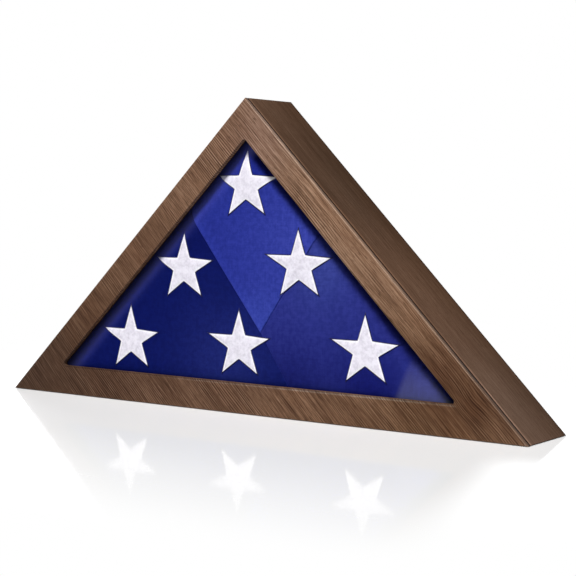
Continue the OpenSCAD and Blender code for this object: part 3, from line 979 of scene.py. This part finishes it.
def cut(bm, point, way, drop=True):
    """Cuts the sheet along a line in the face. What lies to the right of its way goes."""
    bmesh.ops.bisect_plane(
        bm, geom=[*bm.verts, *bm.edges, *bm.faces], dist=1e-7,
        plane_co=(point[0], 0, point[1]), plane_no=(way[1], 0, -way[0]), clear_outer=drop,
    )


def beside(point, way, distance):
    """A point moved to the left of a way."""
    return (point[0] - way[1] * distance, point[1] + way[0] * distance)


def add_fold(name, cloth, level, roll, folded, shade, spots=(), pressed=None, hidden=(), depth=1):
    """One layer, at the front or, with a depth of -1, at the back.

    Its folded edges roll in by one layer, and hidden ones are plain. The spots and the
    pressed fold, painted sheen along it, are those of the cotton.
    """
    bm = face_sheet(SHEET_STEP)
    if depth < 0:
        bmesh.ops.reverse_faces(bm, faces=bm.faces)
    reach = INNER_SLOPE - SHEET_PLAY * DIAG
    for point, way in (
        ((0, INNER_BASE + SHEET_PLAY), (1, 0)),
        ((reach, 0), (-1 / DIAG, 1 / DIAG)),
        ((-reach, 0), (-1 / DIAG, -1 / DIAG)),
        *hidden,
        *folded,
    ):
        cut(bm, point, way)
    for point, way in folded:
        for share in ROLL_STEPS:
            cut(bm, beside(point, way, share * roll), way, drop=False)
    for v in bm.verts:
        x, z = v.co.x, v.co.z
        wave = noise.noise(Vector((x * 14, z * 14, level * 3000))) * 0.25 * MM
        inward = fall_at(x, z) + wave
        for point, way in folded:
            near = left_of(point, way, x, z) / roll
            if near < 1:
                inward += roll * (1 - math.sqrt(max(0.0, 1 - (1 - near) ** 2)))
        v.co.y = level + depth * inward
    material = finish(cloth, lambda look: cotton(look, shade, spots, pressed))
    obj = piece(name, bm, "case", material, (), 180)
    thick = obj.modifiers.new("Thickness", "SOLIDIFY")
    thick.thickness = SHEET_THICKNESS
    thick.offset = -1


class FLAGCASE_OT_folds(PieceOperator, bpy.types.Operator):
    """Outer folds of the flag: the left and right folds, and the flap that lies on both"""

    bl_idname = "flagcase.folds"
    bl_label = "Flag folds"

    def execute(self, context):
        flag = context.scene.flag_case_flag
        up_left, down_left, down_right = (
            (-way[0], -way[1]) for way in (LOWER_FOLD, RIGHT_FOLD, LEFT_FOLD)
        )
        add_fold(
            "flag_right_fold", "right fold cotton", RIGHT_FOLD_Y, flag.layer, [],
            flag.right_cloth, RIGHT_FOLD_SPOTS,
            hidden=[(beside(FLAP_TIP, LOWER_FOLD, -UNDER_LEFT_FOLD), LOWER_FOLD),
                    (beside(FLAP_TIP, down_left, -UNDER_FLAP), down_left)],
        )
        add_fold(
            "flag_left_fold", "left fold cotton", LEFT_FOLD_Y, LEFT_FOLD_ROLL,
            [((FLAP_TIP[0] + 0.3 * MM, FLAP_TIP[1]), up_left)],
            flag.left_cloth, LEFT_FOLD_SPOTS,
        )
        add_fold(
            "flag_flap", "flap cotton", FLAP_Y, flag.layer,
            [(FLAP_TIP, down_right), (FLAP_TIP, RIGHT_FOLD)], flag.flap_cloth, FLAP_SPOTS,
            # painted sheen along the flap's left folded edge
            pressed=(FLAP_TIP, down_right, 14 * MM, (1.2, 1.2, 1.15)),
        )
        add_fold("flag_back", "back cotton", BACK_Y, flag.layer, [], flag.left_cloth, depth=-1)
        add_fold(
            "flag_back_tuck", "tuck cotton", BACK_TUCK_Y, flag.layer, [BACK_TUCK],
            flag.flap_cloth, depth=-1,
        )
        return {"FINISHED"}


# Middles of the stars in the face, from the top down, and a star's tips about its middle,
# from the top one on round by the left, pulled about a little by the stitching
STARS_MM = ((-3.1, 235.3), (-84.2, 147.5), (63.4, 155.1), (-156.8, 67.3), (-10.3, 69.7),
            (143.3, 73.5))
STAR_TIPS_MM = ((-0.5, 36.8), (-39.8, 10.4), (-21.3, -29.5), (23.7, -28.1), (37.6, 9.2))
STAR_THICKNESS = 0.7 * MM
STAR_DOME = 5 * MM  # from a star's outline to where its rise ends
STAR_RISE_MM = (0.35, 0.3, 0.25)  # at the outline, over the hem and over the dome
# Places about a point of a star whose mean depth it is pressed to, and how far behind the
# cloth right under it the point may then lie
PRESSED_MM = ((0, 0), (3, 0), (-3, 0), (0, 3), (0, -3), (5, 5), (-5, 5), (5, -5), (-5, -5))
MOST_SUNK = 0.3 * MM


def off_side(at, start, end):
    """Distance of a place from a straight side."""
    side = end - start
    share = max(0, min(1, (at - start).dot(side) / side.length_squared))
    return (at - start - side * share).length


def add_star(stars, x, z, flag, under):
    """One star with domed arms and a hem, pressed on to the cloth under it."""
    bm = bmesh.new()
    ring = bmesh.ops.create_circle(bm, cap_ends=True, radius=1, segments=10)["verts"]
    tips = [Vector(tip) * (flag.star_size * MM) for tip in STAR_TIPS_MM]
    corners = []
    for i, tip in enumerate(tips):
        corners += [tip, tips[(i + 3) % 5] * -flag.star_waist]

    def inset(at):
        """How far a place lies inside the star's outline."""
        return min(off_side(at, *side) for side in zip(corners, corners[1:] + corners[:1]))

    grown = 1 + flag.star_shadow_hem / inset(Vector((0, 0)))
    corners = [corner * grown for corner in corners]
    for v, corner in zip(ring, corners):
        v.co = corner.to_3d()
    bmesh.ops.poke(bm, faces=bm.faces)
    layer = bm.loops.layers.uv.new("stitch")
    for face in bm.faces:
        arm = max((v.co for v in face.verts), key=lambda c: c.length).normalized()
        for loop in face.loops:
            co = loop.vert.co
            loop[layer].uv = (co.dot(arm), arm.x * co.y - arm.y * co.x)
    bmesh.ops.subdivide_edges(bm, edges=bm.edges, cuts=9, use_grid_fill=True)
    bmesh.ops.triangulate(bm, faces=bm.faces)
    rim = bm.verts.layers.float.new("rim")
    for v in bm.verts:
        v[rim] = inside = inset(v.co.to_2d())
        low, over_hem, over_dome = STAR_RISE_MM
        over_hem *= min(1, inside / max(flag.star_shadow_hem, SAME_PLACE))
        over_dome *= min(1, inside / STAR_DOME)
        v.co.z = (low + over_hem + over_dome) * MM
    turn = Matrix.Rotation(math.radians(90), 3, "X")
    bmesh.ops.rotate(bm, verts=bm.verts, matrix=turn)
    bmesh.ops.translate(bm, verts=bm.verts, vec=(x, 0, z))
    for v in bm.verts:
        depths = []
        for a, b in PRESSED_MM:
            before = Vector((v.co.x + a * MM, FLAG_LOW.y - 0.1, v.co.z + b * MM))
            hit = under.ray_cast(before, Vector(DEEP))[0]
            depths.append(hit.y if hit else PANE_BACK + 2 * MM)
        v.co.y += min(sum(depths) / len(depths), depths[0] + MOST_SUNK)
    bmesh.ops.solidify(bm, geom=bm.faces[:], thickness=STAR_THICKNESS)
    bmesh.ops.recalc_face_normals(bm, faces=bm.faces)
    mesh = bpy.data.meshes.new("work")
    bm.to_mesh(mesh)
    bm.free()
    stars.from_mesh(mesh)
    bpy.data.meshes.remove(mesh)


class FLAGCASE_OT_stars(PieceOperator, bpy.types.Operator):
    """Embroidered stars, laid on the folds in satin stitch"""

    bl_idname = "flagcase.stars"
    bl_label = "Stars"

    def execute(self, context):
        flag = context.scene.flag_case_flag
        material = finish(
            "star thread", lambda look: satin_stitch(look, flag.star_thread, flag.star_shadow_hem)
        )
        cloth = bmesh.new()
        for name in ("flag_right_fold", "flag_left_fold", "flag_flap"):
            cloth.from_mesh(bpy.data.objects[name].data)
        under = BVHTree.FromBMesh(cloth)
        cloth.free()
        stars = bmesh.new()
        for x, z in STARS_MM:
            add_star(stars, x * MM, z * MM, flag, under)
        obj = piece("flag_stars", stars, "case", material, (), 180)
        return {"FINISHED"}


class FLAGCASE_OT_apex_block(PieceOperator, bpy.types.Operator):
    """Block in the apex with the catch magnets"""

    bl_idname = "flagcase.apex_block"
    bl_label = "Apex block and catch"

    def execute(self, context):
        pine = finish(
            "pine",
            lambda look: raw_wood(
                look, LEVEL, UPRIGHT, DEEP, (tone(206, 168, 118), tone(160, 112, 66))
            ),
        )
        eased_node("apex_block", "case", pine, easing=0.25 * MM, least=35)
        eased_node("catch_magnets", "case", metal("nickel"), easing=0.25 * MM)
        eased_node("door_strikes", "door", metal("zinc steel"), easing=0.12 * MM)
        return {"FINISHED"}


class FLAGCASE_OT_hanger(PieceOperator, bpy.types.Operator):
    """Keyhole hanger and its screws"""

    bl_idname = "flagcase.hanger"
    bl_label = "Keyhole hanger"

    def execute(self, context):
        steel = metal("zinc steel")
        eased_node("keyhole_hanger", "case", steel, easing=0.15 * MM)
        dress(steel, "hanger_screws")
        return {"FINISHED"}


class FLAGCASE_OT_hinges(PieceOperator, bpy.types.Operator):
    """Butt hinges with their pins, screws and rivets"""

    bl_idname = "flagcase.hinges"
    bl_label = "Hinges"

    def execute(self, context):
        brass = metal("hinge brass")
        for side in ("left", "right"):
            for part, body in (("case_leaf", "case"), ("door_leaf", "door"), ("pin", "case")):
                eased_node(
                    f"{side}_hinge_{part}", body, brass, easing=0.12 * MM, least=50
                )
        dress(metal("dull brass"), "hinge_case_screws", "hinge_door_rivets")
        return {"FINISHED"}


class FLAGCASE_OT_door(PieceOperator, bpy.types.Operator):
    """Rear door with its lining"""

    bl_idname = "flagcase.door"
    bl_label = "Rear door"

    def execute(self, context):
        board = finish("pressed board", pressed_board)
        eased_node("back_door", "door", board, easing=0.3 * MM)
        lining = finish("black felt", felt)
        eased_node("door_lining", "door", lining, easing=0.3 * MM)
        return {"FINISHED"}


class FLAGCASE_OT_bumpers(PieceOperator, bpy.types.Operator):
    """Rubber bumpers that keep the case off the wall"""

    bl_idname = "flagcase.bumpers"
    bl_label = "Wall bumpers"

    def execute(self, context):
        black = finish("black rubber", rubber)
        eased_node("wall_bumpers", "case", black, easing=0.35 * MM, segments=3)
        return {"FINISHED"}


LAMP_AIM = (0.0, 0, 0.12)
FLOOR_GAP = 0.3 * MM  # from the case's foot to the floor
FLOOR_HALF = 12
FOOT = (0.33, 0.045)  # half the width and depth of the case's foot


def add_camera(settings):
    """Camera turned about its target, then moved back from it."""
    turn = Matrix.Rotation(math.radians(settings.azimuth), 4, "Z")
    turn @= Matrix.Rotation(math.radians(90 - settings.elevation), 4, "X")
    turn @= Matrix.Rotation(math.radians(settings.roll), 4, "Z")
    back = Matrix.Translation((0, 0, settings.distance))
    data = bpy.data.cameras.new("camera")
    data.sensor_width = 36
    data.lens = settings.lens
    data.clip_start, data.clip_end = 0.05, 100
    obj = linked("camera", data)
    obj.matrix_world = Matrix.Translation(settings.target) @ turn @ back
    bpy.context.scene.camera = obj


def add_surroundings(settings):
    """Even light from all round, which is white where the camera sees it."""
    world = bpy.data.worlds.new("surroundings")
    bpy.context.scene.world = world
    look = Look(world)
    lit, white = (
        look.node("ShaderNodeBackground", inputs={"Color": (1, 1, 1), "Strength": strength})
        for strength in (settings.ambient, 1.0)
    )
    look.node("ShaderNodeOutputWorld", inputs={"Surface": look.blended(seen(look), lit, white)})


def add_floor():
    """Wide floor right under the case."""
    bm = bmesh.new()
    bmesh.ops.create_grid(bm, x_segments=8, y_segments=8, size=FLOOR_HALF)
    bmesh.ops.translate(bm, verts=bm.verts, vec=(0, 0, -FLOOR_GAP))
    obj = object_of("floor", bm)
    obj.data.materials.append(finish("floor", polished_floor))


def polished_floor(look):
    """Pale polished floor that mirrors the case faintly close to it."""
    x, y = look.along(LEVEL), look.along(DEEP)
    past_x, past_y = ((abs(a) - half).math("MAXIMUM", 0) for a, half in zip((x, y), FOOT))
    away = (past_x * past_x + past_y * past_y).math("SQRT")
    looked_at = seen(look)
    shade = look.mix(looked_at, (0.35, 0.35, 0.35), (0.8, 0.8, 0.8))
    matt = look.principled(Base_Color=shade, Roughness=0.9, Specular_IOR_Level=0.0)
    white = look.emission()
    near = look.blended(looked_at * 0.1, matt, white)
    body = look.blended(looked_at * away.rising(0.02, 0.4), near, white)
    mirror = look.principled(Base_Color=(1.0, 1.0, 1.0), Metallic=1.0, Roughness=0.06)
    faint = away.rising(0.0, 0.08, 0.25, 0.28) * away.falling(0.14, 0.48)
    right = x + y * 0.31
    faint = faint * (1 - right.rising(0.27, 0.32) * away.rising(0.03, 0.12))
    look.surface(look.blended(faint, body, mirror))


def add_lamp(name, place, size, power):
    """Round lamp that is aimed at the case."""
    data = bpy.data.lights.new(name, "AREA")
    data.shape = "DISK"
    data.size = size
    data.energy = power
    obj = linked(name, data)
    turn = (Vector(LAMP_AIM) - Vector(place)).to_track_quat("-Z", "Y")
    obj.matrix_world = Matrix.Translation(place) @ turn.to_matrix().to_4x4()


class FLAGCASE_OT_stage(PieceOperator, bpy.types.Operator):
    """Camera, lamps, pale floor and pale surroundings"""

    bl_idname = "flagcase.stage"
    bl_label = "Stage"

    def execute(self, context):
        settings = context.scene.flag_case_stage
        context.scene.view_settings.view_transform = "Standard"
        add_camera(settings)
        add_surroundings(settings)
        add_floor()
        add_lamp("key", (0.57, -1.73, 2.98), 1.1, settings.key_power)
        add_lamp("back", (-2.3, 2.2, 1.0), 1.2, settings.back_power)
        return {"FINISHED"}


PROPERTY_GROUPS = {
    "flag_case_wood": FlagCaseWood,
    "flag_case_flag": FlagCaseFlag,
    "flag_case_stage": FlagCaseStage,
}
OPERATORS = (
    FLAGCASE_OT_front_panel,
    FLAGCASE_OT_boards,
    FLAGCASE_OT_glazing,
    FLAGCASE_OT_bundle,
    FLAGCASE_OT_folds,
    FLAGCASE_OT_stars,
    FLAGCASE_OT_apex_block,
    FLAGCASE_OT_hanger,
    FLAGCASE_OT_hinges,
    FLAGCASE_OT_door,
    FLAGCASE_OT_bumpers,
    FLAGCASE_OT_stage,
)


class FLAGCASE_PT_panel(bpy.types.Panel):
    """Lists the sizes, the colours and the pieces"""

    bl_idname = "FLAGCASE_PT_panel"
    bl_label = "Folded flag display case"
    bl_space_type = "VIEW_3D"
    bl_region_type = "UI"
    bl_category = "Flag Case"

    def draw(self, context):
        column = self.layout.column()
        for operator in OPERATORS:
            column.operator(operator.bl_idname)
        for name, group in PROPERTY_GROUPS.items():
            column.label(text=group.__doc__)
            for key in group.__annotations__:
                column.prop(getattr(context.scene, name), key)


CLASSES = (*PROPERTY_GROUPS.values(), *OPERATORS, FLAGCASE_PT_panel)


def register():
    for cls in CLASSES:
        bpy.utils.register_class(cls)
    for name, group in PROPERTY_GROUPS.items():
        setattr(bpy.types.Scene, name, PointerProperty(type=group))


def unregister():
    for name in PROPERTY_GROUPS:
        delattr(bpy.types.Scene, name)
    for cls in reversed(CLASSES):
        bpy.utils.unregister_class(cls)


def main():
    register()
    for operator in OPERATORS:
        group, name = operator.bl_idname.split(".")
        getattr(getattr(bpy.ops, group), name)()


if __name__ == "__main__":
    main()
